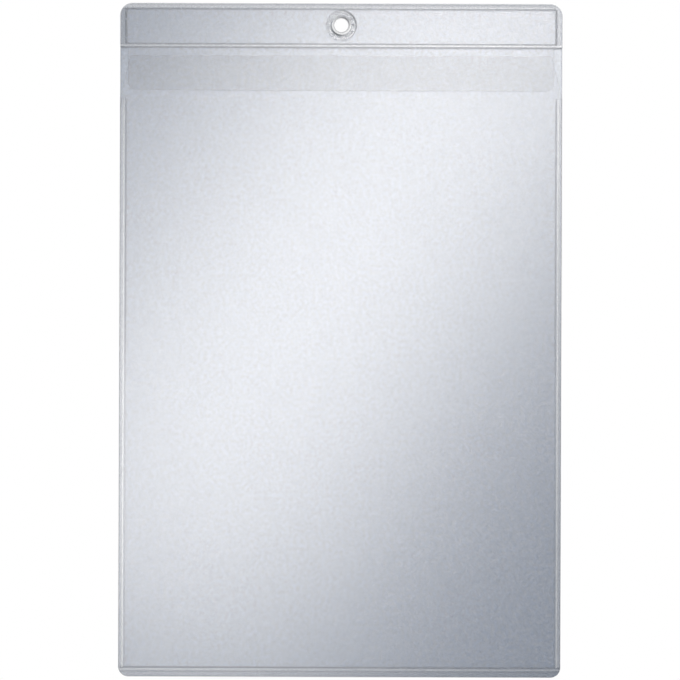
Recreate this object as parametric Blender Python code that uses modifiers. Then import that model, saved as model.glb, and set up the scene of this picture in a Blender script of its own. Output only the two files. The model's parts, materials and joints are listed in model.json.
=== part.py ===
"""Hanging display pocket: a clear film pocket for one page, hung by an eyelet in its welded header.

Metres, +Z up. The pocket hangs in the XZ plane and its front faces -Y. The origin is the middle of
the eyelet's hole, in the plane of the back film's front face.
"""

import math

import bmesh
import bpy

# Page that the pocket holds
PAGE_WIDTH = 0.210
PAGE_HEIGHT = 0.297
PAGE_SIDE_PLAY = 0.0025
PAGE_TOP_PLAY = 0.009

# Films and the welds between them
FILM = 0.0003
CAVITY = 0.0006
FLAP_GAP = 0.0002
WELD_GAP = 0.00005
SIDE_WELD = 0.003
BOTTOM_WELD = 0.0047
TOP_CORNER = 0.006
BOTTOM_CORNER = 0.005

# Header cell, from the top edge down, and how far above its middle the eyelet sits
TOP_WELD = 0.00275
CELL_HEIGHT = 0.0175
EYELET_RAISE = 0.0005
HEADER_SEAM = 0.00165
MOUTH_GAP = 0.004

# Flap that hangs from the header, and the lip of the front film that bends open under it
FLAP_HEIGHT = 0.0216
FLAP_INSET = 0.0041
FLAP_CORNER = 0.004
LIP_HEIGHT = 0.021
LIP_INSET = 0.0052
LIP_CORNER = 0.001
FOLD_GAP = 0.0003

# Eyelet: radii, and heights measured from the film that each half sits on
HOLE_RADIUS = 0.0035
BARREL_WALL = 0.0011
ROLL_WIDTH = 0.0017
ROLL_HEIGHT = 0.0017
FLANGE_RADIUS = 0.0078
FLANGE_EDGE = 0.0006
FLANGE_SLOPE = 0.0003
RING_HEIGHT = 0.0011
RING_EDGE = 0.0004
BARREL_RECESS = 0.0002
BARREL_FIT = 0.0001
FILM_HOLE_FIT = 0.0003
SEAT_GAP = 0.0001

# Fineness of round stretches
CORNER_STEPS = 8
ROLL_STEPS = 8
TURN_STEPS = 48

# Places across the width and down the height
HALF_WIDTH = PAGE_WIDTH / 2 + PAGE_SIDE_PLAY + SIDE_WELD
TOP = TOP_WELD + CELL_HEIGHT / 2 - EYELET_RAISE
CELL_TOP = TOP - TOP_WELD
CELL_BOTTOM = CELL_TOP - CELL_HEIGHT
HEADER_BOTTOM = CELL_BOTTOM - HEADER_SEAM
LIP_TOP = HEADER_BOTTOM - MOUTH_GAP
LIP_FOLD = LIP_TOP - LIP_HEIGHT
PAGE_BOTTOM = LIP_TOP - PAGE_TOP_PLAY - PAGE_HEIGHT
BOTTOM = PAGE_BOTTOM - BOTTOM_WELD
FLAP_FOLD = HEADER_BOTTOM - FOLD_GAP / 2

# Places through the thickness, the front being -Y
BACK_REAR = FILM
POCKET_BACK = -CAVITY
POCKET_FRONT = POCKET_BACK - FILM
HEADER_BACK = POCKET_FRONT - FLAP_GAP
HEADER_FRONT = HEADER_BACK - FILM
BARREL_RADIUS = HOLE_RADIUS + BARREL_WALL
FILM_HOLE_RADIUS = BARREL_RADIUS + FILM_HOLE_FIT

# Finishes: colour, roughness and opacity
FILM_FINISH = ((0.74, 0.78, 0.83), 0.30, 0.45)
WELD_FINISH = ((0.70, 0.74, 0.80), 0.35, 0.60)
EYELET_FINISH = ((0.86, 0.88, 0.91), 0.15, 0.55)


def clear_scene():
    """Removes every object that the file opened with."""
    for thing in list(bpy.data.objects):
        bpy.data.objects.remove(thing, do_unlink=True)


def new_collection(name):
    """Makes a collection in the scene."""
    group = bpy.data.collections.new(name)
    bpy.context.scene.collection.children.link(group)
    return group


def finish(thing, values):
    """Gives an object its own Principled material; none of the pieces is metal."""
    colour, roughness, opacity = values
    material = bpy.data.materials.new(thing.name)
    material.use_nodes = True
    shader = material.node_tree.nodes["Principled BSDF"]
    shader.inputs["Base Color"].default_value = (*colour, 1.0)
    shader.inputs["Roughness"].default_value = roughness
    shader.inputs["Metallic"].default_value = 0.0
    shader.inputs["Alpha"].default_value = opacity
    thing.data.materials.append(material)


def arc(centre_x, centre_z, radius, start, end, steps):
    """Points along an arc; angles in degrees, anticlockwise from +X as seen from the front."""
    points = []
    for step in range(steps + 1):
        angle = math.radians(start + (end - start) * step / steps)
        points.append((centre_x + radius * math.cos(angle), centre_z + radius * math.sin(angle)))
    return points


def circle(radius):
    """Points round a circle about the eyelet's axis, without the repeated last one."""
    return arc(0.0, 0.0, radius, 0.0, 360.0, TURN_STEPS)[:-1]


def rounded(corners):
    """Outline through corners (x, z, radius), each rounded by an arc that touches both its sides."""
    outline = []
    for index, (x, z, radius) in enumerate(corners):
        before = corners[index - 1]
        after = corners[(index + 1) % len(corners)]
        if radius == 0.0:
            outline.append((x, z))
            continue
        heading_in = math.atan2(z - before[1], x - before[0])
        heading_out = math.atan2(after[1] - z, after[0] - x)
        turn = (heading_out - heading_in + math.pi) % (2 * math.pi) - math.pi
        reach = radius * math.tan(abs(turn) / 2)
        side = math.copysign(math.pi / 2, turn)
        centre_x = x - reach * math.cos(heading_in) + radius * math.cos(heading_in + side)
        centre_z = z - reach * math.sin(heading_in) + radius * math.sin(heading_in + side)
        start = math.degrees(heading_in - side)
        outline += arc(centre_x, centre_z, radius, start, start + math.degrees(turn), CORNER_STEPS)
    return outline


def flat_curve(name, outlines, thickness):
    """A filled 2D curve: the first outline is the edge, any others are holes."""
    curve = bpy.data.curves.new(name, "CURVE")
    curve.dimensions = "2D"
    curve.fill_mode = "BOTH"
    curve.extrude = thickness / 2
    for outline in outlines:
        spline = curve.splines.new("POLY")
        spline.points.add(len(outline) - 1)
        for point, (x, z) in zip(spline.points, outline):
            point.co = (x, z, 0.0, 1.0)
        spline.use_cyclic_u = True
    return bpy.data.objects.new(name, curve)


def film(name, group, outlines, front, hinge=None):
    """A film standing in the XZ plane with its front face at y = front; a hinge empty carries it."""
    sheet = flat_curve(name, outlines, FILM)
    sheet.rotation_euler = (math.pi / 2, 0.0, 0.0)
    sheet.location = (0.0, front + FILM / 2, 0.0)
    if hinge is not None:
        sheet.location -= hinge.location
        sheet.parent = hinge
    group.objects.link(sheet)
    finish(sheet, FILM_FINISH)
    return sheet


def hinge_empty(name, group, y, z):
    """An empty on a fold's axis, which runs along X."""
    empty = bpy.data.objects.new(name, None)
    empty.empty_display_size = FLAP_HEIGHT
    empty.location = (0.0, y, z)
    group.objects.link(empty)
    return empty


def outline_cutter(group, outline):
    """The pocket's outline as a thick closed mesh, which trims the welds to the films' edge."""
    depth = 4 * (BACK_REAR - HEADER_FRONT)
    drawn = flat_curve("pocket_outline", [outline], depth)
    drawn.rotation_euler = (math.pi / 2, 0.0, 0.0)
    group.objects.link(drawn)
    view = bpy.context.evaluated_depsgraph_get()
    mesh = bpy.data.meshes.new_from_object(drawn.evaluated_get(view))
    body = bmesh.new()
    body.from_mesh(mesh)
    bmesh.ops.remove_doubles(body, verts=body.verts, dist=FILM / 10)
    bmesh.ops.recalc_face_normals(body, faces=body.faces)
    body.to_mesh(mesh)
    body.free()
    cutter = bpy.data.objects.new("pocket_outline_cutter", mesh)
    cutter.matrix_world = drawn.matrix_world
    cutter.hide_render = True
    cutter.display_type = "WIRE"
    group.objects.link(cutter)
    bpy.data.objects.remove(drawn, do_unlink=True)
    return cutter


def weld(name, group, cutter, across, down, front):
    """A weld strip from x to x and z to z, as thick as the space behind the film, trimmed to the outline."""
    low = (across[0], front + WELD_GAP, down[0])
    high = (across[1], -WELD_GAP, down[1])
    body = bmesh.new()
    bmesh.ops.create_cube(body, size=1.0)
    bmesh.ops.scale(body, vec=[h - l for l, h in zip(low, high)], verts=body.verts)
    mesh = bpy.data.meshes.new(name)
    body.to_mesh(mesh)
    body.free()
    strip = bpy.data.objects.new(name, mesh)
    strip.location = [(l + h) / 2 for l, h in zip(low, high)]
    group.objects.link(strip)
    trim = strip.modifiers.new("trim", "BOOLEAN")
    trim.operation = "INTERSECT"
    trim.object = cutter
    finish(strip, WELD_FINISH)
    return strip


def turned(name, group, profile, values):
    """A closed profile of (radius, height) points turned about the eyelet's axis; height is -Y."""
    mesh = bpy.data.meshes.new(name)
    edges = [(index, (index + 1) % len(profile)) for index in range(len(profile))]
    mesh.from_pydata([(radius, 0.0, height) for radius, height in profile], edges, [])
    piece = bpy.data.objects.new(name, mesh)
    piece.rotation_euler = (math.pi / 2, 0.0, 0.0)
    group.objects.link(piece)
    screw = piece.modifiers.new("turn", "SCREW")
    screw.steps = TURN_STEPS
    screw.render_steps = TURN_STEPS
    screw.use_smooth_shade = True
    finish(piece, values)
    return piece


def eyelet_front_profile():
    """Rolled lip, sloping flange with a round edge, then the barrel back to the hole's wall."""
    seat = SEAT_GAP - HEADER_FRONT
    roll = ROLL_WIDTH / 2
    crest = seat + ROLL_HEIGHT - roll
    edge = FLANGE_EDGE / 2
    rear = BARREL_RECESS - (BACK_REAR + SEAT_GAP + RING_HEIGHT)
    profile = arc(HOLE_RADIUS + roll, crest, roll, 180.0, 0.0, ROLL_STEPS)
    profile.append((HOLE_RADIUS + ROLL_WIDTH, seat + FLANGE_EDGE + FLANGE_SLOPE))
    profile += arc(FLANGE_RADIUS - edge, seat + edge, edge, 90.0, -90.0, ROLL_STEPS)
    profile.append((BARREL_RADIUS, seat))
    profile.append((BARREL_RADIUS, rear))
    profile.append((HOLE_RADIUS, rear))
    return profile


def eyelet_back_profile():
    """A flat ring with a round outer rear edge, its bore a close fit on the barrel."""
    seat = -(BACK_REAR + SEAT_GAP)
    rear = seat - RING_HEIGHT
    bore = BARREL_RADIUS + BARREL_FIT
    profile = [(bore, seat), (FLANGE_RADIUS, seat)]
    profile += arc(FLANGE_RADIUS - RING_EDGE, rear + RING_EDGE, RING_EDGE, 0.0, -90.0, ROLL_STEPS)
    profile.append((bore, rear))
    return profile


def build():
    """Builds the films, the welds between them and the eyelet."""
    clear_scene()
    pocket = new_collection("hanging_display_pocket")
    cutters = new_collection("cutters")
    left, right = -HALF_WIDTH, HALF_WIDTH
    half_fold = FOLD_GAP / 2
    hole = circle(FILM_HOLE_RADIUS)

    # Films that stay still
    whole = rounded([
        (left, BOTTOM, BOTTOM_CORNER),
        (right, BOTTOM, BOTTOM_CORNER),
        (right, TOP, TOP_CORNER),
        (left, TOP, TOP_CORNER),
    ])
    film("back_film", pocket, [whole, hole], 0.0)
    front = rounded([
        (left, BOTTOM, BOTTOM_CORNER),
        (right, BOTTOM, BOTTOM_CORNER),
        (right, LIP_FOLD - half_fold, 0.0),
        (left, LIP_FOLD - half_fold, 0.0),
    ])
    film("front_film", pocket, [front], POCKET_FRONT)
    header = rounded([
        (left, HEADER_BOTTOM, 0.0),
        (right, HEADER_BOTTOM, 0.0),
        (right, TOP, TOP_CORNER),
        (left, TOP, TOP_CORNER),
    ])
    film("header_film", pocket, [header, hole], HEADER_FRONT)

    # Films that bend forward, each carried by an empty on its fold
    flap_hinge = hinge_empty("flap_hinge", pocket, HEADER_FRONT, FLAP_FOLD)
    flap = rounded([
        (left + FLAP_INSET, HEADER_BOTTOM - FLAP_HEIGHT, FLAP_CORNER),
        (right - FLAP_INSET, HEADER_BOTTOM - FLAP_HEIGHT, FLAP_CORNER),
        (right - FLAP_INSET, FLAP_FOLD - half_fold, 0.0),
        (left + FLAP_INSET, FLAP_FOLD - half_fold, 0.0),
    ])
    film("closing_flap", pocket, [flap], HEADER_FRONT, flap_hinge)
    lip_hinge = hinge_empty("lip_hinge", pocket, POCKET_FRONT, LIP_FOLD)
    lip = rounded([
        (left, LIP_FOLD + half_fold, 0.0),
        (right, LIP_FOLD + half_fold, 0.0),
        (right - LIP_INSET, LIP_TOP, LIP_CORNER),
        (left + LIP_INSET, LIP_TOP, LIP_CORNER),
    ])
    film("front_lip", pocket, [lip], POCKET_FRONT, lip_hinge)

    # Welds: each starts past the films' edge and is trimmed back to it
    cutter = outline_cutter(cutters, whole)
    past = SIDE_WELD
    outside = (left - past, right + past)
    left_side = (left - past, left + SIDE_WELD)
    right_side = (right - SIDE_WELD, right + past)
    cell = (CELL_BOTTOM + WELD_GAP, CELL_TOP - WELD_GAP)
    pocket_sides = (PAGE_BOTTOM + WELD_GAP, LIP_FOLD - half_fold)
    weld("header_weld_top", pocket, cutter, outside, (CELL_TOP, TOP + past), HEADER_BACK)
    weld("header_weld_left", pocket, cutter, left_side, cell, HEADER_BACK)
    weld("header_weld_right", pocket, cutter, right_side, cell, HEADER_BACK)
    weld("header_weld_seam", pocket, cutter, outside, (HEADER_BOTTOM, CELL_BOTTOM), HEADER_BACK)
    weld("pocket_weld_left", pocket, cutter, left_side, pocket_sides, POCKET_BACK)
    weld("pocket_weld_right", pocket, cutter, right_side, pocket_sides, POCKET_BACK)
    weld("pocket_weld_bottom", pocket, cutter, outside, (BOTTOM - past, PAGE_BOTTOM), POCKET_BACK)

    # Eyelet halves
    turned("eyelet_front", pocket, eyelet_front_profile(), EYELET_FINISH)
    turned("eyelet_back", pocket, eyelet_back_profile(), EYELET_FINISH)


build()
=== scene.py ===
"""Looks of the hanging display pocket: its clear films with their weld lines, its eyelet and a studio.

The file is laid out as an add-on and run as a script. Metres, in the frame of the solids: +Z is up and
the pocket's front faces -Y.
"""

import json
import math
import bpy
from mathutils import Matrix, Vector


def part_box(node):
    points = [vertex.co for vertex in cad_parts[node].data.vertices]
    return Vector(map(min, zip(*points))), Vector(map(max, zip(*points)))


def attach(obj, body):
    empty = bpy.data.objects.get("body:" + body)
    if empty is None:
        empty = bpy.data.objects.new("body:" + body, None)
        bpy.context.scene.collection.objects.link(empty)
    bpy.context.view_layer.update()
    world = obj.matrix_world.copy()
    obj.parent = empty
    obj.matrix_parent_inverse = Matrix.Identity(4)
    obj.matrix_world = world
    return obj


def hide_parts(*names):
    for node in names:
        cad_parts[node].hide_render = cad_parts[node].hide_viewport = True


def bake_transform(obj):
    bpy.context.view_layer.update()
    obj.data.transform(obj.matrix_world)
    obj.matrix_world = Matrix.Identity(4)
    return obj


bl_info = {
    "name": "Hanging display pocket",
    "version": (1, 0, 0),
    "blender": (4, 5, 0),
    "location": "View3D > Sidebar > Pocket",
    "description": "Builds the clear films, weld lines and eyelet of a hanging display pocket",
    "category": "Object",
}

from typing import NamedTuple

import bpy
import numpy as np
from bpy.props import FloatProperty, FloatVectorProperty, IntProperty, PointerProperty
from bpy.types import Operator, Panel, PropertyGroup
from mathutils import Matrix

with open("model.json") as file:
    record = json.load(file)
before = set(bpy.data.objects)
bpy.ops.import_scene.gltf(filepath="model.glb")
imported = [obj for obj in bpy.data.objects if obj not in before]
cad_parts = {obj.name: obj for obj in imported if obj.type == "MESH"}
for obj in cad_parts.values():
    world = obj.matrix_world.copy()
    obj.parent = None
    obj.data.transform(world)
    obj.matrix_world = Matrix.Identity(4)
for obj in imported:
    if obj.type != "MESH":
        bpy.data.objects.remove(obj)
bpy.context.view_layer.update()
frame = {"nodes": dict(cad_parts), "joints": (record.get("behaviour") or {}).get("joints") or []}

# Places of the films, read from the solids
BACK_LOW, BACK_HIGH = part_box("back_film")
HALF_WIDTH = BACK_HIGH.x
TOP = BACK_HIGH.z
BOTTOM = BACK_LOW.z
FILM = BACK_HIGH.y - BACK_LOW.y
BACK_REAR = BACK_HIGH.y
POCKET_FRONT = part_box("front_film")[0].y
HEADER_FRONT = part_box("header_film")[0].y
HEADER_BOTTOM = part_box("header_film")[0].z
FLAP_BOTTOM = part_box("closing_flap")[0].z
FLAP_HALF_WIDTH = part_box("closing_flap")[1].x
LIP_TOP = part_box("front_lip")[1].z

# Places of the weld lines, read from the weld strips
SIDE_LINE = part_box("pocket_weld_right")[0].x
BOTTOM_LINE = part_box("pocket_weld_bottom")[1].z
CELL_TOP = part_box("header_weld_top")[0].z
CELL_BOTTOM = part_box("header_weld_seam")[1].z

# Fold that the lip turns about; the flap turns about the header's lower edge
FOLDS = {joint["name"]: joint["pos_m"] for joint in frame["joints"]}
LIP_FOLD = FOLDS["lip_bend"][2]

# Outline details, as on the solids
TOP_CORNER = 0.006
BOTTOM_CORNER = 0.005
FLAP_CORNER = 0.004
LIP_CORNER = 0.001
LIP_INSET = 0.0052
FILM_HOLE = 0.0049
HOLE_RADIUS = 0.0035
BARREL_RADIUS = 0.0046

# Solids that keep their shape and get a finish
WELD_NODES = (
    "header_weld_top",
    "header_weld_left",
    "header_weld_right",
    "header_weld_seam",
    "pocket_weld_left",
    "pocket_weld_right",
    "pocket_weld_bottom",
)


# Settings


class FilmSettings(PropertyGroup):
    """Finish and relief of the clear films, and of the welds pressed into them."""

    colour: FloatVectorProperty(
        name="Film colour",
        description="Body colour of the film",
        subtype="COLOR",
        default=(0.05, 0.115, 0.23),
    )
    # Painted shade: the dark colour of the weld lines and of the films' cut edges
    line_shade_colour: FloatVectorProperty(
        name="Line colour",
        description="Colour of the lines pressed into the film along the welds",
        subtype="COLOR",
        default=(0.05, 0.06, 0.075),
    )
    # Painted highlight: the light colour of the bead along a weld
    bead_highlight_colour: FloatVectorProperty(
        name="Bead colour",
        description="Colour of the stretched, whitened bead along a weld",
        subtype="COLOR",
        default=(0.88, 0.91, 0.95),
    )
    weld_colour: FloatVectorProperty(
        name="Weld colour",
        description="Colour of the melted strips between the films",
        subtype="COLOR",
        default=(0.40, 0.44, 0.50),
    )
    opacity: FloatProperty(
        name="Front opacity",
        description="Share of light that one face of the front film or of the header holds back",
        subtype="FACTOR",
        min=0.0,
        max=1.0,
        default=0.12,
    )
    flap_opacity: FloatProperty(
        name="Flap opacity",
        description="The same share on the flap and on the lip, which lie over each other",
        subtype="FACTOR",
        min=0.0,
        max=1.0,
        default=0.07,
    )
    back_opacity: FloatProperty(
        name="Back opacity",
        description="The same share on the back film",
        subtype="FACTOR",
        min=0.0,
        max=1.0,
        default=0.645,
    )
    # Painted light: a lower share that lightens the back film along its top weld and beside its side welds
    border_opacity: FloatProperty(
        name="Border opacity",
        description="The same share on the back film where a weld has pressed it thin",
        subtype="FACTOR",
        min=0.0,
        max=1.0,
        default=0.36,
    )
    weld_opacity: FloatProperty(
        name="Weld opacity",
        description="The same share on the melted strips between the films",
        subtype="FACTOR",
        min=0.0,
        max=1.0,
        default=0.03,
    )
    # Painted shade: the opacity of the darkened weld lines and cut edges
    line_shade_opacity: FloatProperty(
        name="Line opacity",
        description="The same share on the pressed lines",
        subtype="FACTOR",
        min=0.0,
        max=1.0,
        default=0.70,
    )
    # Painted highlight: the opacity of the lightened bead
    bead_highlight_opacity: FloatProperty(
        name="Bead opacity",
        description="The same share on the whitened bead",
        subtype="FACTOR",
        min=0.0,
        max=1.0,
        default=0.50,
    )
    roughness: FloatProperty(
        name="Roughness",
        description="Softness of the film's gloss",
        subtype="FACTOR",
        min=0.0,
        max=1.0,
        default=0.33,
    )
    weld_roughness: FloatProperty(
        name="Weld roughness",
        description="Softness of the gloss on the header's upper weld and on the melted strips",
        subtype="FACTOR",
        min=0.0,
        max=1.0,
        default=0.50,
    )
    line_roughness: FloatProperty(
        name="Line roughness",
        description="Softness of the gloss on the pressed lines",
        subtype="FACTOR",
        min=0.0,
        max=1.0,
        default=0.45,
    )
    # Painted shade: the darkened lines and cut edges keep only this share of the gloss
    line_shade_gloss: FloatProperty(
        name="Line gloss",
        description="Share of the film's gloss that is left on the pressed lines",
        subtype="FACTOR",
        min=0.0,
        max=1.0,
        default=0.20,
    )
    grain: FloatProperty(
        name="Grain",
        description="Size of the film's fine grain",
        unit="LENGTH",
        default=0.0018,
    )
    line_width: FloatProperty(
        name="Line width",
        description="Width of a pressed line, from foot to foot",
        unit="LENGTH",
        default=0.0012,
    )
    # The bead is a low ridge, and its lightness is painted highlight
    bead_width: FloatProperty(
        name="Bead width",
        description="Width of the whitened bead, from foot to foot",
        unit="LENGTH",
        default=0.0012,
    )
    ridge_height: FloatProperty(
        name="Ridge height",
        description="How far the lines and the bead stand up from the film",
        unit="LENGTH",
        default=0.00003,
    )
    bulge: FloatProperty(
        name="Bulge",
        description="How far the front film stands out in the middle of the pocket",
        unit="LENGTH",
        default=0.0006,
    )


class EyeletSettings(PropertyGroup):
    """Finish and ribs of the clear eyelet."""

    colour: FloatVectorProperty(
        name="Eyelet colour",
        description="Tint of the clear plastic",
        subtype="COLOR",
        default=(0.45, 0.475, 0.51),
    )
    # Painted shade: the dark colour put in the eyelet's creases and on its ribs
    crease_shade_colour: FloatVectorProperty(
        name="Crease colour",
        description="Tint of the plastic in its creases, where little light comes through",
        subtype="COLOR",
        default=(0.10, 0.11, 0.125),
    )
    opacity: FloatProperty(
        name="Opacity",
        description="Share of light that one face of the plastic holds back",
        subtype="FACTOR",
        min=0.0,
        max=1.0,
        default=0.09,
    )
    # Painted shade: the creases are made nearly opaque
    crease_shade_opacity: FloatProperty(
        name="Crease opacity",
        description="The same share in the creases",
        subtype="FACTOR",
        min=0.0,
        max=1.0,
        default=0.92,
    )
    # Painted shade: the shaded creases keep only this share of the gloss
    crease_shade_gloss: FloatProperty(
        name="Crease gloss",
        description="Share of the plastic's gloss that is left in the creases",
        subtype="FACTOR",
        min=0.0,
        max=1.0,
        default=0.02,
    )
    roughness: FloatProperty(
        name="Roughness",
        description="Softness of the moulded plastic's gloss",
        subtype="FACTOR",
        min=0.0,
        max=1.0,
        default=0.10,
    )
    ribs: IntProperty(
        name="Ribs",
        description="Number of moulded ribs round the flange",
        default=11,
    )
    rib_height: FloatProperty(
        name="Rib height",
        description="How far the ribs stand up from the flange",
        unit="LENGTH",
        default=0.00016,
    )


class StageSettings(PropertyGroup):
    """Camera, lamps and background."""

    camera_distance: FloatProperty(
        name="Camera distance",
        description="From the camera to the front film",
        unit="LENGTH",
        default=0.9,
    )
    view_width: FloatProperty(
        name="View width",
        description="Width of the picture at the front film",
        unit="LENGTH",
        default=0.3399,
    )
    view_height: FloatProperty(
        name="View height",
        description="Height of the picture's middle, below the eyelet",
        unit="LENGTH",
        default=-0.1571,
    )
    view_side: FloatProperty(
        name="View side",
        description="Place of the picture's middle, across the pocket",
        unit="LENGTH",
        default=-0.00015,
    )
    roll: FloatProperty(
        name="Roll",
        description="Turn of the camera about its own axis",
        subtype="ANGLE",
        default=math.radians(-0.2),
    )
    strip_power: FloatProperty(
        name="Strip lamp power",
        description="Power of the slanted strip lamp behind the camera",
        unit="POWER",
        default=6.85,
    )
    fill_power: FloatProperty(
        name="Fill lamp power",
        description="Power of the wide lamp at the upper left",
        unit="POWER",
        default=0.5,
    )
    front_grey: FloatProperty(
        name="Front brightness",
        description="Brightness of the studio on the camera's side",
        subtype="FACTOR",
        min=0.0,
        max=1.0,
        default=0.22,
    )


class PocketSettings(PropertyGroup):
    """All the settings of the pocket."""

    film: PointerProperty(type=FilmSettings, name="Film", description="Films and welds")
    eyelet: PointerProperty(type=EyeletSettings, name="Eyelet", description="Eyelet")
    stage: PointerProperty(type=StageSettings, name="Stage", description="Camera and light")


def settings():
    """The pocket's settings in the open scene."""
    return bpy.context.scene.display_pocket


# Shapes


def eased(share):
    """Smooth step from 0 to 1, level at both ends: 3 t squared minus 2 t cubed."""
    t = np.clip(share, 0.0, 1.0)
    return t * t * (3.0 - 2.0 * t)


def raised(angle):
    """The raised cosine of an angle: 1 at 0, falling to 0 half a turn away."""
    return 0.5 + 0.5 * np.cos(angle)


def hump(distance, width):
    """1 on a line, falling as a raised cosine to 0 at half the width on either side."""
    return raised(np.pi * np.clip(np.abs(distance) * 2.0 / width, 0.0, 1.0))


def corner_cut(height, edge, radius):
    """How far a round corner draws the side in: radius less the circle's half chord at that height."""
    depth = np.clip(radius - np.abs(edge - height), 0.0, radius)
    return radius - np.sqrt(radius**2 - depth**2)


def corner_rows(edge, radius, inward):
    """Heights at even angles round a corner, from where its arc starts to the edge."""
    return edge + inward * radius * (1.0 - np.sin(np.linspace(0.0, np.pi / 2, CORNER_STEPS)))


def run(start, end, step):
    """Evenly spaced places from start to end, at most a step apart."""
    return np.linspace(start, end, max(2, 1 + math.ceil(abs(end - start) / step)))


def merged(*runs):
    """All the places in order, with those that agree to a hundredth of a millimetre taken once."""
    return np.unique(np.round(np.concatenate(runs), MERGE_DIGITS))


def mirrored(places):
    """The places and their mirror images about the middle."""
    return merged(-places, places)


def frame_distance(x, z, half_width, low, high, rounding):
    """Distance out from the edge of an upright rectangle with round corners, below 0 inside it."""
    dx = np.abs(x) - (half_width - rounding)
    dz = np.maximum(low + rounding - z, z - (high - rounding))
    outside = np.hypot(np.maximum(dx, 0.0), np.maximum(dz, 0.0))
    return outside + np.minimum(np.maximum(dx, dz), 0.0) - rounding


def mixed(low, high, share):
    """Goes straight from one value to another by a share."""
    return low + (high - low) * share


# Spacing of the films' grids: fine along the welds, medium at the eyelet and the folds, coarse between
CORNER_STEPS = 12
MERGE_DIGITS = 5
FINE = 0.00015
MEDIUM = 0.0011
COARSE = 0.006
BORDER = 0.0045
TINY = 1e-9

# Square rings of the grid that are turned into circles about the eyelet's hole
EYELET_INNER = 4 * MEDIUM
EYELET_OUTER = 7 * MEDIUM
HOLE_SLACK = FINE / 10
RING_GATHER = 2.7


def film_columns():
    """Places across a film: fine along its welded borders and coarse between them, even at the eyelet."""
    border = run(HALF_WIDTH - BORDER, HALF_WIDTH, FINE)
    middle = run(0.0, EYELET_OUTER, MEDIUM)
    between = run(EYELET_OUTER, HALF_WIDTH - BORDER, COARSE)
    return mirrored(merged(border, middle, between))


def film_grid(columns, rows, half_width):
    """Grid of x and z: each row of columns is drawn in at its ends to the film's half width there."""
    x, z = np.meshgrid(columns, rows)
    pull = eased((np.abs(x) - HALF_WIDTH / 2) / (HALF_WIDTH / 2 - BORDER))
    x = x - np.sign(x) * pull * (HALF_WIDTH - half_width(z))
    return x, z


def round_hole(x, z):
    """Turns the grid's square rings about the eyelet into circles, ever closer towards the hole."""
    square = np.maximum(np.abs(x), np.abs(z))
    length = np.maximum(np.hypot(x, z), TINY)
    share = np.clip((square - EYELET_INNER) / (EYELET_OUTER - EYELET_INNER), 0.0, 1.0)
    rim = EYELET_OUTER * length / np.maximum(square, TINY)
    radius = mixed(FILM_HOLE, rim, share**RING_GATHER)
    hole = square < EYELET_INNER - HOLE_SLACK
    near = (square < EYELET_OUTER) & ~hole
    scale = np.where(near, radius / length, 1.0)
    return x * scale, z * scale, hole


def new_object(name, points, faces, marks):
    """A smooth mesh object at the origin from points and faces, with a named value on each point."""
    used, faces = np.unique(faces, return_inverse=True)
    faces = faces.reshape(-1, 4)
    mesh = bpy.data.meshes.new(name)
    mesh.from_pydata(points.reshape(-1, 3)[used].tolist(), [], faces.tolist())
    for mark, values in marks.items():
        attribute = mesh.attributes.new(mark, "FLOAT", "POINT")
        attribute.data.foreach_set("value", values.reshape(-1)[used].astype(np.float32))
    mesh.shade_smooth()
    piece = bpy.data.objects.new(name, mesh)
    bpy.context.scene.collection.objects.link(piece)
    return piece


def grid_faces(shape):
    """The four corners of each cell in a grid of points."""
    index = np.arange(shape[0] * shape[1]).reshape(shape)
    corners = [index[:-1, :-1], index[:-1, 1:], index[1:, 1:], index[1:, :-1]]
    return np.stack(corners, axis=-1).reshape(-1, 4)


def film_object(name, x, y, z, hole, facing, marks):
    """A film of real thickness: the grid is its outer face, and Solidify adds the rest behind it.

    facing is 1 where that face looks towards +Y, and -1 where it looks towards -Y.
    """
    points = np.stack([x, y, z], axis=-1)
    faces = grid_faces(x.shape)
    if facing > 0:
        faces = faces[:, ::-1]
    gone = hole.reshape(-1)[faces].any(axis=1)
    piece = new_object(name, points, faces[~gone], marks)
    wall = piece.modifiers.new("film", "SOLIDIFY")
    wall.thickness = FILM
    wall.offset = -1.0
    return piece


# Weld lines and beads: places out from the inner line, and strengths from 0 to 1.
# The lines are darkened with painted shade and the beads lightened with painted highlight
LINE_ROUNDING = 0.0008
BEAD_PLACE = 0.0011
OUTER_PLACE = 0.0021
HEADER_LINE = 0.65
SIDE_BREADTH = 1.6
# The bead strengths below set how much painted highlight each bead carries
SEAM_BEAD = 0.4
SIDE_LINE_SHARE = 0.43
SIDE_BEAD = 0.40
BOTTOM_LINE_SHARE = 0.55
BOTTOM_BEAD = 0.35
OUTER_SHARE = 0.3

# The same low down the sides, and where the change starts and ends, as shares of the way down
LOW_SIDE_LINE = 0.11
LOW_SIDE_BEAD = 0.53
SIDE_FADE = (0.39, 0.51)

# Strengths of the painted shade along the films' cut edges, and of the back film's borders beside
# the welds, which painted light makes lighter
HEADER_EDGE_SHADE = 0.35
POCKET_EDGE_SHADE = 0.55
FLAP_EDGE_SHADE = 0.22
LIP_EDGE_SHADE = 0.18
HEADER_BORDER = 0.1
POCKET_BORDER = 0.5
DULL_START = 0.5

# How far from its fold a film goes over to the other opacity, and the height of the notch beside the flap
FOLD_REACH = 0.0012
NOTCH = 0.0005


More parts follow.
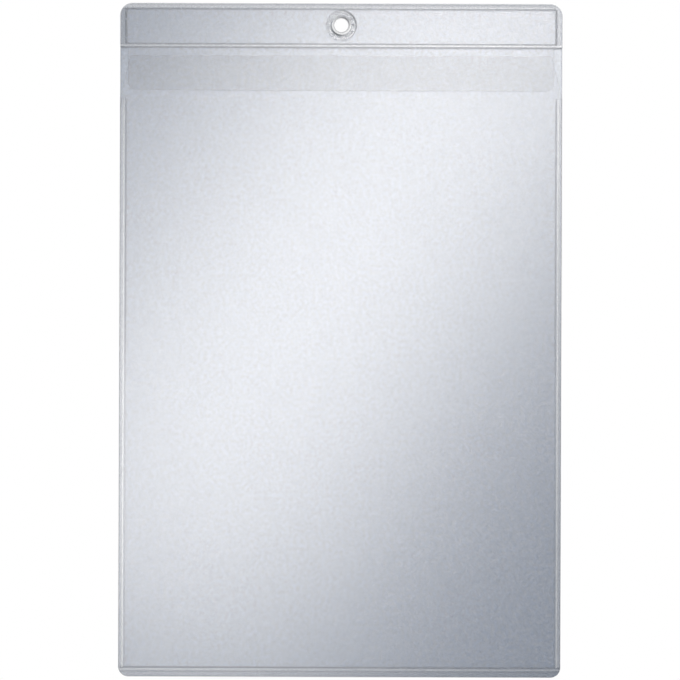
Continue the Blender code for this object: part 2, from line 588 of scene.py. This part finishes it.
def header_welds(x, z):
    """Line and bead of the header's welds: a line round its cell and one below, and the seam between.

    Each is a raised cosine across the weld. The cell's line is broader at its two sides. The lines
    carry painted shade and the seam's bead painted highlight.
    """
    film = settings().film
    beside = np.abs(np.abs(x) - SIDE_LINE) < film.line_width
    width = film.line_width * np.where(beside, SIDE_BREADTH, 1.0)
    cell = hump(frame_distance(x, z, SIDE_LINE, CELL_BOTTOM, CELL_TOP, LINE_ROUNDING), width)
    below = hump(z - HEADER_BOTTOM, film.line_width)
    line = HEADER_LINE * np.maximum(np.where(z > HEADER_BOTTOM, cell, 0.0), below)
    seam = (HEADER_BOTTOM + CELL_BOTTOM) / 2
    bead = SEAM_BEAD * hump(z - seam, CELL_BOTTOM - HEADER_BOTTOM)
    return line, bead


def pocket_welds(x, z):
    """Line and bead of the pocket's welds: down both sides from the fold, and right across the bottom.

    Each is a raised cosine across the weld, with the bead outside the line. Half way down the sides the
    line's painted shade fades and the bead's painted highlight grows brighter. The bottom has a second,
    fainter line outside the bead.
    """
    film = settings().film
    side = np.abs(x) - SIDE_LINE
    low = BOTTOM_LINE - z
    beside = eased((LIP_FOLD - z) / MEDIUM) * (low < 0.0)
    start, end = SIDE_FADE
    down = (LIP_FOLD - z) / (LIP_FOLD - BOTTOM_LINE)
    lower = eased((down - start) / (end - start))
    side_line = mixed(SIDE_LINE_SHARE, LOW_SIDE_LINE, lower) * beside * hump(side, film.line_width)
    low_line = BOTTOM_LINE_SHARE * hump(low, film.line_width)
    outer_line = OUTER_SHARE * hump(low - OUTER_PLACE, film.line_width)
    side_bead_hump = hump(side - BEAD_PLACE, film.bead_width)
    side_bead = mixed(SIDE_BEAD, LOW_SIDE_BEAD, lower) * beside * side_bead_hump
    low_bead = BOTTOM_BEAD * hump(low - BEAD_PLACE, film.bead_width)
    return np.maximum.reduce([side_line, low_line, outer_line]), np.maximum(side_bead, low_bead)


def pressed(x, z, top, header, pocket, bottom):
    """How far the weld bar has pressed a film outside its weld lines, from a share for each weld."""
    width = settings().film.line_width
    side = eased((np.abs(x) - SIDE_LINE) / width)
    return np.maximum.reduce(
        [
            top * eased((z - CELL_TOP) / width),
            header * side * (z > HEADER_BOTTOM),
            pocket * side * (z < LIP_FOLD),
            bottom * eased((BOTTOM_LINE - z) / width),
        ]
    )


def edge_shade_line(edge, share):
    """Painted shade along the cut edge of a film, by the distance in from it."""
    return share * hump(edge, settings().film.line_width)


def film_marks(opacity, line, bead, x, z):
    """Values for a film's finish: lines of painted shade, beads of painted highlight, dull upper weld,
    opacity.

    The veil is the film's opacity, which goes over to the line's and the bead's by their shares.
    """
    film = settings().film
    veil = mixed(mixed(opacity, film.line_shade_opacity, line), film.bead_highlight_opacity, bead)
    dull = eased((z - CELL_TOP) / film.line_width - DULL_START)
    smooth = pressed(x, z, 1.0, 1.0, 1.0, 1.0)
    return {"line": line, "bead": bead, "dull": dull, "veil": veil, "smooth": smooth}


def back_rows():
    """Heights of the back film's rows."""
    return merged(
        corner_rows(TOP, TOP_CORNER, -1),
        corner_rows(BOTTOM, BOTTOM_CORNER, 1),
        run(TOP, CELL_TOP - MEDIUM, FINE),
        run(-EYELET_OUTER, EYELET_OUTER, MEDIUM),
        run(CELL_BOTTOM + MEDIUM, HEADER_BOTTOM - MEDIUM, FINE),
        run(HEADER_BOTTOM - MEDIUM, LIP_FOLD, 2 * MEDIUM),
        run(LIP_FOLD, BOTTOM_LINE + MEDIUM, COARSE),
        run(BOTTOM_LINE + MEDIUM, BOTTOM, FINE),
    )


def back_half_width(z):
    """The back film is a rectangle with round corners."""
    return HALF_WIDTH - corner_cut(z, TOP, TOP_CORNER) - corner_cut(z, BOTTOM, BOTTOM_CORNER)


def pocket_swell(x, z):
    """1 in the middle of the pocket and 0 along its welds and its lip: a parabola times a sine."""
    across = np.clip(1.0 - (x / SIDE_LINE) ** 2, 0.0, 1.0)
    down = np.clip((LIP_FOLD - z) / (LIP_FOLD - BOTTOM_LINE), 0.0, 1.0)
    return across * np.sin(np.pi * down)


def make_back_sheet():
    """The back film: header welds and pocket welds pressed into it, and the eyelet's hole."""
    film = settings().film
    x, z = film_grid(film_columns(), back_rows(), back_half_width)
    edge = np.minimum(back_half_width(z) - np.abs(x), np.minimum(TOP - z, z - BOTTOM))
    x, z, hole = round_hole(x, z)
    line, bead = (np.maximum(*pair) for pair in zip(header_welds(x, z), pocket_welds(x, z)))
    y = BACK_REAR + film.ridge_height * (line + bead)
    # Painted light: the back film is made more see-through, so lighter, along its top weld and beside its
    # welds
    lightened_border = pressed(x, z, 1.0, HEADER_BORDER, POCKET_BORDER * (z > BOTTOM_LINE), 0.0)
    opacity = mixed(film.back_opacity, film.border_opacity, lightened_border)
    # Painted shade along the film's cut edges, carried with the weld lines
    rim = edge_shade_line(edge, np.where(z > LIP_FOLD, HEADER_EDGE_SHADE, POCKET_EDGE_SHADE))
    marks = film_marks(opacity, np.maximum(line, rim), bead, x, z)
    return film_object("back_sheet", x, y, z, hole, 1, marks)


def front_rows():
    """Heights of the front film's rows, closer together at its fold and at its lip."""
    return merged(
        corner_rows(LIP_TOP, LIP_CORNER, -1),
        corner_rows(BOTTOM, BOTTOM_CORNER, 1),
        run(LIP_TOP, LIP_TOP - MEDIUM, FINE),
        run(LIP_TOP, LIP_FOLD, MEDIUM),
        run(LIP_FOLD, LIP_FOLD - COARSE, MEDIUM),
        run(LIP_FOLD - COARSE, BOTTOM_LINE + MEDIUM, COARSE),
        run(BOTTOM_LINE + MEDIUM, BOTTOM, FINE),
    )


def front_half_width(z):
    """The front film tapers above the side welds, with round corners at its lip and its bottom."""
    taper = LIP_INSET * np.clip((z - LIP_FOLD) / (LIP_TOP - LIP_FOLD), 0.0, 1.0)
    round_off = corner_cut(z, LIP_TOP, LIP_CORNER) + corner_cut(z, BOTTOM, BOTTOM_CORNER)
    return HALF_WIDTH - taper - round_off


def make_front_sheet():
    """The front film: a slight swell between its welds, and a lip above its fold."""
    film = settings().film
    x, z = film_grid(film_columns(), front_rows(), front_half_width)
    edge = np.minimum(front_half_width(z) - np.abs(x), np.minimum(LIP_TOP - z, z - BOTTOM))
    line, bead = pocket_welds(x, z)
    y = POCKET_FRONT - film.ridge_height * (line + bead) - film.bulge * pocket_swell(x, z)
    # Painted shade along the film's cut edges, carried with the weld lines
    rim = edge_shade_line(edge, np.where(z < LIP_FOLD, POCKET_EDGE_SHADE, LIP_EDGE_SHADE))
    lip = eased((z - LIP_FOLD) / FOLD_REACH)
    opacity = mixed(film.opacity, film.flap_opacity, lip)
    marks = film_marks(opacity, np.maximum(line, rim), bead, x, z)
    piece = film_object("front_sheet", x, y, z, np.zeros(x.shape, bool), -1, marks)
    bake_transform(piece)
    return piece


def header_rows():
    """Heights of the header strip's rows, from its top edge to the flap's lower edge."""
    return merged(
        corner_rows(TOP, TOP_CORNER, -1),
        corner_rows(FLAP_BOTTOM, FLAP_CORNER, 1),
        run(TOP, CELL_TOP - MEDIUM, FINE),
        run(-EYELET_OUTER, EYELET_OUTER, MEDIUM),
        run(CELL_BOTTOM + MEDIUM, HEADER_BOTTOM - 2 * MEDIUM, FINE),
        run(HEADER_BOTTOM - 2 * MEDIUM, FLAP_BOTTOM + MEDIUM, MEDIUM),
        run(FLAP_BOTTOM + MEDIUM, FLAP_BOTTOM, FINE),
    )


def header_half_width(z):
    """The header is as wide as the pocket, and the flap below it is narrower with round corners."""
    notch = (HALF_WIDTH - FLAP_HALF_WIDTH) * eased((HEADER_BOTTOM - z) / NOTCH)
    round_off = corner_cut(z, TOP, TOP_CORNER) + corner_cut(z, FLAP_BOTTOM, FLAP_CORNER)
    return HALF_WIDTH - notch - round_off


def make_header_sheet():
    """The header strip: a welded cell round the eyelet, and the flap that hangs from its seam."""
    film = settings().film
    x, z = film_grid(film_columns(), header_rows(), header_half_width)
    edge = np.minimum(header_half_width(z) - np.abs(x), np.minimum(TOP - z, z - FLAP_BOTTOM))
    x, z, hole = round_hole(x, z)
    line, bead = header_welds(x, z)
    y = HEADER_FRONT - film.ridge_height * (line + bead)
    # Painted shade along the film's cut edges, carried with the weld lines
    rim = edge_shade_line(edge, np.where(z > HEADER_BOTTOM, HEADER_EDGE_SHADE, FLAP_EDGE_SHADE))
    flap = eased((HEADER_BOTTOM - z) / FOLD_REACH)
    opacity = mixed(film.opacity, film.flap_opacity, flap)
    marks = film_marks(opacity, np.maximum(line, rim), bead, x, z)
    piece = film_object("header_sheet", x, y, z, hole, -1, marks)
    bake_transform(piece)
    return piece


class ShadeRing(NamedTuple):
    """A ring of painted shade on the eyelet: radius and width, least and most strength, darkest side."""

    place: float
    width: float
    least: float
    most: float
    side: float


# Eyelet: fineness, sizes of the roll and the flange, and how far the corners are rounded
TURN_STEPS = 176
PATH_STEP = 0.00009
ROUND_STEPS = 9
ROLL_OUTER = 0.00495
ROLL_FOOT = 0.00505
ROLL_HEIGHT = 0.0017
FLANGE_TOP = 0.0006
FLANGE_EDGE = 0.00045
BARREL_FIT = 0.0001
CREST_ROUND = 0.0004
ROLL_ROUND = 0.0006
RIM_ROUND = 0.0003
FOOT_ROUND = 0.00015
SEAT_ROUND = 0.00008
RING_BORE_ROUND = 0.0002
RING_SEAT_ROUND = 0.0001
RING_REAR_ROUND = 0.0004

# Ribs on the flange, and the rings and dashes of painted shade on the eyelet, each darkest on one side
RIB_RING = 0.0060
RIB_BAND = 0.0015
HOLE_SHADE_RING = ShadeRing(HOLE_RADIUS + 0.0003, width=0.0022, least=0.5, most=1.0, side=math.radians(55.0))
FOOT_SHADE_RING = ShadeRing(ROLL_FOOT, width=0.0015, least=0.0, most=1.0, side=math.radians(238.0))
RIM_SHADE_RING = ShadeRing(0.0074, width=0.0015, least=0.05, most=0.75, side=math.radians(38.0))
DASH_SHADE_RING = ShadeRing(0.0059, width=0.0014, least=0.10, most=0.7, side=0.0)


def rounded_path(corners):
    """A closed path of (radius, height) through corners of (radius, height, rounding), evenly spaced.

    Each corner is swapped for a parabola that leaves one side and meets the next at the rounding's
    distance from the corner, and the whole is then stepped along by its length.
    """
    corners = np.array(corners)
    point, rounding = corners[:, :2], corners[:, 2:]
    onward = np.roll(point, -1, axis=0) - point
    onward = onward / np.linalg.norm(onward, axis=1, keepdims=True)
    inward = np.roll(onward, 1, axis=0)
    t = np.linspace(0.0, 1.0, ROUND_STEPS)[None, :, None]
    start = (point - rounding * inward)[:, None, :]
    end = (point + rounding * onward)[:, None, :]
    path = (start * (1 - t) ** 2 + 2 * t * (1 - t) * point[:, None, :] + end * t**2).reshape(-1, 2)
    path = np.concatenate([path, path[:1]])
    length = np.concatenate([[0.0], np.cumsum(np.linalg.norm(np.diff(path, axis=0), axis=1))])
    steps = np.linspace(0.0, length[-1], math.ceil(length[-1] / PATH_STEP), endpoint=False)
    return np.stack([np.interp(steps, length, path[:, k]) for k in (0, 1)], axis=-1)


def turned_object(name, profile, lift, crease_shade):
    """A closed profile of (radius, height) carried round the eyelet's axis, with height towards -Y.

    lift(radius, height, angle) is added to the height, so that ribs can stand up from the round form,
    and the last function, of the same three, marks its rings and dashes of painted shade.
    """
    angle = np.linspace(0.0, 2.0 * np.pi, TURN_STEPS, endpoint=False)[None, :]
    radius = profile[:, :1] + 0.0 * angle
    height = profile[:, 1:] + 0.0 * angle
    marks = {"crease_shade": crease_shade(radius, height, angle)}
    height = height + lift(radius, height, angle)
    points = np.stack([radius * np.cos(angle), -height, radius * np.sin(angle)], axis=-1)
    index = np.arange(radius.size).reshape(radius.shape)
    after = np.roll(index, -1, axis=0)
    corners = [index, np.roll(index, -1, axis=1), np.roll(after, -1, axis=1), after]
    faces = np.stack(corners, axis=-1).reshape(-1, 4)
    return new_object(name, points, faces, marks)


def rib_wave(angle):
    """1 on each rib and 0 between, as the fourth power of a raised cosine."""
    return raised(settings().eyelet.ribs * angle) ** 4


def shade_ring_mark(radius, angle, ring):
    """A ring of painted shade, darkest towards one side: a raised cosine across it, and its cube round it.
    """
    depth = mixed(ring.least, ring.most, raised(angle - ring.side) ** 3)
    return depth * hump(radius - ring.place, ring.width)


def make_eyelet_front():
    """Front half: a rolled lip round the hole, a ribbed flange with a round rim, and the barrel."""
    low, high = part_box("eyelet_front")
    flange = high.x
    crest = -low.y
    seat = crest - ROLL_HEIGHT
    rear = -high.y
    profile = rounded_path(
        [
            (HOLE_RADIUS, rear, FOOT_ROUND),
            (HOLE_RADIUS, crest, CREST_ROUND),
            (ROLL_OUTER, crest, ROLL_ROUND),
            (ROLL_FOOT, seat + FLANGE_TOP, FOOT_ROUND),
            (flange, seat + FLANGE_EDGE, RIM_ROUND),
            (flange, seat, SEAT_ROUND),
            (BARREL_RADIUS, seat, SEAT_ROUND),
            (BARREL_RADIUS, rear, FOOT_ROUND),
        ]
    )

    def lift(radius, height, angle):
        band = hump(radius - RIB_RING, RIB_BAND) * (height > seat + FLANGE_EDGE / 2)
        return settings().eyelet.rib_height * band * rib_wave(angle)

    # Painted shade: dark rings at the hole, the roll's foot and the rim, and dashes on the ribs
    def crease_shade(radius, height, angle):
        marks = [shade_ring_mark(radius, angle, ring) for ring in (HOLE_SHADE_RING, FOOT_SHADE_RING, RIM_SHADE_RING)]
        dashes = rib_wave(angle) * shade_ring_mark(radius, angle, DASH_SHADE_RING)
        return np.maximum.reduce([*marks, dashes]) * (height > seat + FLANGE_EDGE / 2)

    return turned_object("eyelet_front_half", profile, lift, crease_shade)


def make_eyelet_back():
    """Back half: a ring with round edges, and teeth pressed into its rear face."""
    low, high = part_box("eyelet_back")
    outer = high.x
    bore = BARREL_RADIUS + BARREL_FIT
    seat, rear = -low.y, -high.y
    profile = rounded_path(
        [
            (bore, rear, RING_BORE_ROUND),
            (bore, seat, RING_SEAT_ROUND),
            (outer, seat, RING_SEAT_ROUND),
            (outer, rear, RING_REAR_ROUND),
        ]
    )

    def lift(radius, height, angle):
        band = hump(radius - RIB_RING, RIB_BAND) * (height < (seat + rear) / 2)
        return settings().eyelet.rib_height * band * rib_wave(angle)

    # Painted shade: dashes on the teeth of the rear face
    def crease_shade(radius, height, angle):
        rear_face = height < (seat + rear) / 2
        return rib_wave(angle) * shade_ring_mark(radius, angle, DASH_SHADE_RING) * rear_face

    return turned_object("eyelet_back_half", profile, lift, crease_shade)


# Finishes


class Finish:
    """A material's node tree, with short ways to add nodes and join them."""

    def __init__(self, name):
        self.material = bpy.data.materials.new(name)
        self.material.use_nodes = True
        self.tree = self.material.node_tree
        self.shader = self.tree.nodes["Principled BSDF"]
        self.place = self.add("ShaderNodeTexCoord").outputs["Object"]

    def add(self, kind, **values):
        """A new node with some of its own settings."""
        node = self.tree.nodes.new(kind)
        for key, value in values.items():
            setattr(node, key, value)
        return node

    def join(self, source, target):
        """Sends a node's output, or a plain value, to an input."""
        if isinstance(source, bpy.types.NodeSocket):
            self.tree.links.new(source, target)
        else:
            target.default_value = source

    def noise(self, size, detail):
        """Noise whose patches are about this size, in metres."""
        node = self.add("ShaderNodeTexNoise")
        self.join(self.place, node.inputs["Vector"])
        node.inputs["Scale"].default_value = 1.0 / size
        node.inputs["Detail"].default_value = detail
        return node.outputs["Fac"]

    def mark(self, name):
        """A value stored on the mesh's points."""
        return self.add("ShaderNodeAttribute", attribute_name=name).outputs["Fac"]

    def spread(self, value, low, high):
        """Maps noise, which keeps near its middle, to a range."""
        node = self.add("ShaderNodeMapRange")
        self.join(value, node.inputs["Value"])
        node.inputs["From Min"].default_value, node.inputs["From Max"].default_value = NOISE_RANGE
        node.inputs["To Min"].default_value = low
        node.inputs["To Max"].default_value = high
        return node.outputs["Result"]

    def times(self, value, factor):
        """One number times another."""
        node = self.add("ShaderNodeMath", operation="MULTIPLY")
        self.join(value, node.inputs[0])
        self.join(factor, node.inputs[1])
        return node.outputs["Value"]

    def mix(self, share, low, high):
        """Goes from one number to another by a share."""
        node = self.add("ShaderNodeMix", data_type="FLOAT")
        self.join(share, node.inputs["Factor"])
        self.join(low, node.inputs["A"])
        self.join(high, node.inputs["B"])
        return node.outputs["Result"]

    def blend(self, share, low, high):
        """Goes from one colour to another by a share."""
        node = self.add("ShaderNodeMix", data_type="RGBA")
        sockets = {socket.identifier: socket for socket in node.inputs}
        self.join(share, sockets["Factor_Float"])
        self.join(low, sockets["A_Color"])
        self.join(high, sockets["B_Color"])
        return next(s for s in node.outputs if s.identifier == "Result_Color")

    def shaded(self, pattern, colour, swing):
        """A colour that a pattern makes darker and lighter, by a swing either way."""
        return self.blend(pattern, shade(colour, 1.0 - swing), shade(colour, 1.0 + swing))

    def swung(self, noise, value, swing):
        """A number that noise makes smaller and larger, by a swing either way."""
        return self.spread(noise, value * (1.0 - swing), value * (1.0 + swing))

    def bump(self, height, depth, strength):
        """A normal tilted by a height pattern of some depth, in metres."""
        node = self.add("ShaderNodeBump")
        node.inputs["Strength"].default_value = strength
        node.inputs["Distance"].default_value = depth
        self.join(height, node.inputs["Height"])
        return node.outputs["Normal"]

    def set(self, **values):
        """Sets or joins inputs of the shader; words in a name are split by underscores."""
        for key, value in values.items():
            self.join(value, self.shader.inputs[key.replace("_", " ")])


def shade(colour, amount):
    """A colour with an alpha of 1, made lighter or darker."""
    return (*(channel * amount for channel in colour), 1.0)


def grey(tone):
    """A grey with an alpha of 1."""
    return (tone, tone, tone, 1.0)


WHITE = grey(1.0)
NOISE_RANGE = (0.3, 0.7)

# Films: refraction, and how far the grain swings the opacity, the colour and the roughness
FRONT_IOR = 2.55
BACK_IOR = 2.1
FRONT_GRAIN = 0.25
BACK_GRAIN = 0.10
FILM_TINT_SWING = 0.2
FILM_ROUGH_SWING = 0.03

# The grain's detail and level value, and its bump's strength and depth, as a share of its size
GRAIN_DETAIL = 1.0
GRAIN_LEVEL = 0.5
GRAIN_STRENGTH = 0.5
GRAIN_DEPTH = 0.05

# Weld strips and eyelet: each noise is a size and a detail, and each bump a depth and a strength
WELD_IOR = 1.54
WELD_MOTTLE = (0.0015, 2.0)
WELD_BUMP = (0.00002, 0.05)
WELD_TINT_SWING = 0.1
WELD_ROUGH_SWING = 0.05
EYELET_IOR = 1.8
EYELET_FLOW = (0.003, 3.0)
EYELET_BUMP = (0.00004, 0.15)
EYELET_TINT_SWING = 0.04
EYELET_ROUGH_SWING = 0.3
# How much faster the painted shade in the eyelet's creases takes their gloss than it darkens them
CREASE_SHADE_FALL = 3.0


def film_finish(name, ior, amount):
    """Clear film: blue-grey body with a grain that welds press smooth, dark lines and light beads.

    The dark lines are painted shade, which also dulls their gloss, and the light beads painted highlight.
    """
    film = settings().film
    made = Finish(name)
    grain = made.mix(made.mark("smooth"), made.noise(film.grain, GRAIN_DETAIL), GRAIN_LEVEL)
    line = made.mark("line")
    body = made.shaded(made.spread(grain, 0.0, 1.0), film.colour, FILM_TINT_SWING)
    # Painted shade: the lines and cut edges darken
    body = made.blend(line, body, shade(film.line_shade_colour, 1.0))
    # Painted highlight: the beads lighten
    body = made.blend(made.mark("bead"), body, shade(film.bead_highlight_colour, 1.0))
    rough = made.swung(grain, film.roughness, FILM_ROUGH_SWING)
    rough = made.mix(made.mark("dull"), rough, film.weld_roughness)
    rough = made.mix(line, rough, film.line_roughness)
    veil = made.times(made.mark("veil"), made.swung(grain, 1.0, amount))
    # Painted shade: the lines and cut edges lose most of their gloss
    gloss = made.blend(line, WHITE, grey(film.line_shade_gloss))
    made.set(Base_Color=body, Alpha=veil, Roughness=rough, Specular_Tint=gloss)
    made.set(Normal=made.bump(grain, film.grain * GRAIN_DEPTH, GRAIN_STRENGTH))
    made.set(IOR=ior, Specular_IOR_Level=1.0)
    return made.material


def front_finish():
    """The finish of the front film and of the header strip."""
    return film_finish("clear_film", FRONT_IOR, FRONT_GRAIN)


def back_finish():
    """The finish of the back film."""
    return film_finish("clear_back_film", BACK_IOR, BACK_GRAIN)


def weld_finish():
    """Melted film: duller than the films, with a faint mottle left by the welding bar."""
    film = settings().film
    made = Finish("melted_film")
    mottle = made.noise(*WELD_MOTTLE)
    body = made.shaded(mottle, film.weld_colour, WELD_TINT_SWING)
    rough = made.swung(mottle, film.weld_roughness, WELD_ROUGH_SWING)
    made.set(Base_Color=body, Alpha=film.weld_opacity, Roughness=rough)
    made.set(IOR=WELD_IOR, Normal=made.bump(mottle, *WELD_BUMP))
    return made.material


def eyelet_finish():
    """Clear moulded plastic with faint flow marks, and painted shade that darkens and dulls its creases."""
    eyelet = settings().eyelet
    made = Finish("clear_eyelet")
    flow = made.noise(*EYELET_FLOW)
    crease_shade = made.mark("crease_shade")
    body = made.shaded(flow, eyelet.colour, EYELET_TINT_SWING)
    # Painted shade: the creases darken and turn nearly opaque
    body = made.blend(crease_shade, body, shade(eyelet.crease_shade_colour, 1.0))
    veil = made.mix(crease_shade, eyelet.opacity, eyelet.crease_shade_opacity)
    rough = made.swung(flow, eyelet.roughness, EYELET_ROUGH_SWING)
    made.set(Base_Color=body, Alpha=veil, Roughness=rough, Normal=made.bump(flow, *EYELET_BUMP))
    # Painted shade: the creases also lose their gloss
    gloss = made.blend(made.times(crease_shade, CREASE_SHADE_FALL), WHITE, grey(eyelet.crease_shade_gloss))
    made.set(IOR=EYELET_IOR, Specular_IOR_Level=1.0, Specular_Tint=gloss)
    return made.material


# Floor: how far below the pocket, its size, its finish, and where it starts and ends to go white
FLOOR_DROP = 0.55
FLOOR_SIZE = 3.0
FLOOR_STEPS = 25
FLOOR_MOTTLE = (0.2, 2.0)
FLOOR_TONES = (0.84, 0.88)
FLOOR_ROUGHNESS = 0.8
FLOOR_FADE = (0.95, 1.60)


def floor_finish():
    """Pale matt floor with a faint mottle, which goes over to the white background away from the pocket."""
    made = Finish("pale_floor")
    dark, light = FLOOR_TONES
    body = made.blend(made.noise(*FLOOR_MOTTLE), grey(dark), grey(light))
    made.set(Base_Color=body, Roughness=FLOOR_ROUGHNESS)
    away = made.add("ShaderNodeVectorMath", operation="LENGTH")
    made.join(made.place, away.inputs[0])
    fade = made.add("ShaderNodeMapRange", interpolation_type="SMOOTHSTEP")
    made.join(away.outputs["Value"], fade.inputs["Value"])
    fade.inputs["From Min"].default_value, fade.inputs["From Max"].default_value = FLOOR_FADE
    seen = made.add("ShaderNodeLightPath").outputs["Is Camera Ray"]
    white = made.add("ShaderNodeEmission")
    both = made.add("ShaderNodeMixShader")
    made.join(made.times(fade.outputs["Result"], seen), both.inputs["Fac"])
    made.join(made.shader.outputs["BSDF"], both.inputs[1])
    made.join(white.outputs["Emission"], both.inputs[2])
    made.join(both.outputs["Shader"], made.tree.nodes["Material Output"].inputs["Surface"])
    return made.material


# Operators


def finished(name, make):
    """A material made once and then shared."""
    return bpy.data.materials.get(name) or make()


def place(piece, material, slot, *nodes):
    """Gives a piece its material, and hides the solids that it stands for. The slot is not used."""
    piece.data.materials.append(material)
    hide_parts(*nodes)


class POCKET_OT_back_sheet(Operator):
    """Builds the back film with the welds pressed into it"""

    bl_idname = "display_pocket.back_sheet"
    bl_label = "Back sheet"

    def execute(self, context):
        piece = make_back_sheet()
        place(piece, finished("clear_back_film", back_finish), "film", "back_film")
        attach(piece, "pocket")
        return {"FINISHED"}


class POCKET_OT_front_sheet(Operator):
    """Builds the front film with its lip"""

    bl_idname = "display_pocket.front_sheet"
    bl_label = "Front sheet"

    def execute(self, context):
        piece = make_front_sheet()
        place(piece, finished("clear_film", front_finish), "film", "front_film", "front_lip")
        return {"FINISHED"}


class POCKET_OT_header_sheet(Operator):
    """Builds the header strip with the flap that hangs from it"""

    bl_idname = "display_pocket.header_sheet"
    bl_label = "Header and flap"

    def execute(self, context):
        piece = make_header_sheet()
        place(piece, finished("clear_film", front_finish), "film", "header_film", "closing_flap")
        return {"FINISHED"}


class POCKET_OT_welds(Operator):
    """Gives the weld strips between the films their finish"""

    bl_idname = "display_pocket.welds"
    bl_label = "Weld strips"

    def execute(self, context):
        material = finished("melted_film", weld_finish)
        for name in WELD_NODES:
            mesh = frame["nodes"][name].data
            mesh.materials.clear()
            mesh.materials.append(material)
        return {"FINISHED"}


class POCKET_OT_eyelet(Operator):
    """Builds the two halves of the eyelet"""

    bl_idname = "display_pocket.eyelet"
    bl_label = "Eyelet"

    def execute(self, context):
        material = finished("clear_eyelet", eyelet_finish)
        for piece, node in ((make_eyelet_front(), "eyelet_front"), (make_eyelet_back(), "eyelet_back")):
            place(piece, material, "eyelet", node)
            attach(piece, "pocket")
        return {"FINISHED"}


def make_floor():
    """A level pale floor below the hanging pocket: a square grid."""
    places = np.linspace(-FLOOR_SIZE / 2, FLOOR_SIZE / 2, FLOOR_STEPS)
    x, y = np.meshgrid(places, places)
    z = np.full_like(x, BOTTOM - FLOOR_DROP)
    floor = new_object("floor", np.stack([x, y, z], axis=-1), grid_faces(x.shape), {})
    floor.data.materials.append(floor_finish())


# Lamps: colour, width and height, place, and the strip's turn about Y
LAMP_COLOUR = (1.0, 0.98, 0.96)
STRIP_SIZE = (0.375, 1.02)
STRIP_PLACE = (0.0127, -1.0, -0.0225)
STRIP_TURN = math.radians(32.0)
FILL_SIZE = (0.8, 0.8)
FILL_PLACE = (-0.9, -0.9, 0.7429)

# How far towards +Y a direction points where the studio starts and ends to go from grey to white
STUDIO_FADE = (-0.6, 0.4)


def staged(name, data, location, turn):
    """An object of the stage that faces +Y, turned about the Y axis."""
    holder = bpy.data.objects.new(name, data)
    upright = Matrix.Rotation(math.pi / 2, 4, "X")
    holder.matrix_world = Matrix.Translation(location) @ Matrix.Rotation(turn, 4, "Y") @ upright
    bpy.context.scene.collection.objects.link(holder)
    return holder


def make_lamp(name, power, size, location, turn):
    """A rectangular lamp facing +Y, turned about its own axis."""
    lamp = bpy.data.lights.new(name, "AREA")
    lamp.shape = "RECTANGLE"
    lamp.size, lamp.size_y = size
    lamp.energy = power
    lamp.color = LAMP_COLOUR
    staged(name, lamp, location, turn).visible_camera = False


def make_camera(stage):
    """A camera straight in front of the pocket."""
    camera = bpy.data.cameras.new("front_camera")
    camera.lens = camera.sensor_width * stage.camera_distance / stage.view_width
    location = (stage.view_side, POCKET_FRONT - stage.camera_distance, stage.view_height)
    bpy.context.scene.camera = staged("front_camera", camera, location, stage.roll)


def make_world(stage):
    """A studio that the camera sees white, and that lights the pocket white from behind, grey in front."""
    world = bpy.data.worlds.new("studio")
    world.use_nodes = True
    tree = world.node_tree
    way = tree.nodes.new("ShaderNodeTexCoord")
    split = tree.nodes.new("ShaderNodeSeparateXYZ")
    fade = tree.nodes.new("ShaderNodeMapRange")
    fade.interpolation_type = "SMOOTHSTEP"
    fade.inputs["From Min"].default_value, fade.inputs["From Max"].default_value = STUDIO_FADE
    fade.inputs["To Min"].default_value = stage.front_grey
    fade.inputs["To Max"].default_value = 1.0
    tree.links.new(way.outputs["Generated"], split.inputs["Vector"])
    tree.links.new(split.outputs["Y"], fade.inputs["Value"])
    seen = tree.nodes.new("ShaderNodeLightPath")
    strength = tree.nodes.new("ShaderNodeMath")
    strength.operation = "MAXIMUM"
    tree.links.new(fade.outputs["Result"], strength.inputs[0])
    tree.links.new(seen.outputs["Is Camera Ray"], strength.inputs[1])
    tree.links.new(strength.outputs["Value"], tree.nodes["Background"].inputs["Strength"])
    tree.nodes["Background"].inputs["Color"].default_value = WHITE
    bpy.context.scene.world = world


class POCKET_OT_stage(Operator):
    """Builds the floor, the lamps, the background and the camera"""

    bl_idname = "display_pocket.stage"
    bl_label = "Stage"

    def execute(self, context):
        stage = settings().stage
        make_camera(stage)
        make_world(stage)
        make_floor()
        make_lamp("strip_lamp", stage.strip_power, STRIP_SIZE, STRIP_PLACE, STRIP_TURN)
        make_lamp("fill_lamp", stage.fill_power, FILL_SIZE, FILL_PLACE, 0.0)
        context.scene.view_settings.view_transform = "Standard"
        return {"FINISHED"}


class POCKET_PT_panel(Panel):
    """Lists the pocket's pieces in the sidebar"""

    bl_idname = "POCKET_PT_panel"
    bl_label = "Hanging display pocket"
    bl_space_type = "VIEW_3D"
    bl_region_type = "UI"
    bl_category = "Pocket"

    def draw(self, context):
        for piece in PIECES:
            self.layout.operator(piece.bl_idname)


PIECES = (
    POCKET_OT_back_sheet,
    POCKET_OT_front_sheet,
    POCKET_OT_header_sheet,
    POCKET_OT_welds,
    POCKET_OT_eyelet,
    POCKET_OT_stage,
)
CLASSES = (FilmSettings, EyeletSettings, StageSettings, PocketSettings, *PIECES, POCKET_PT_panel)


def register():
    """Adds the classes and the scene's settings."""
    for kind in CLASSES:
        bpy.utils.register_class(kind)
    bpy.types.Scene.display_pocket = PointerProperty(type=PocketSettings)


def unregister():
    """Takes the settings and the classes away."""
    del bpy.types.Scene.display_pocket
    for kind in reversed(CLASSES):
        bpy.utils.unregister_class(kind)


def main():
    """Builds every piece in order."""
    register()
    bpy.ops.display_pocket.stage()
    bpy.ops.display_pocket.back_sheet()
    bpy.ops.display_pocket.front_sheet()
    bpy.ops.display_pocket.header_sheet()
    bpy.ops.display_pocket.welds()
    bpy.ops.display_pocket.eyelet()


if __name__ == "__main__":
    main()
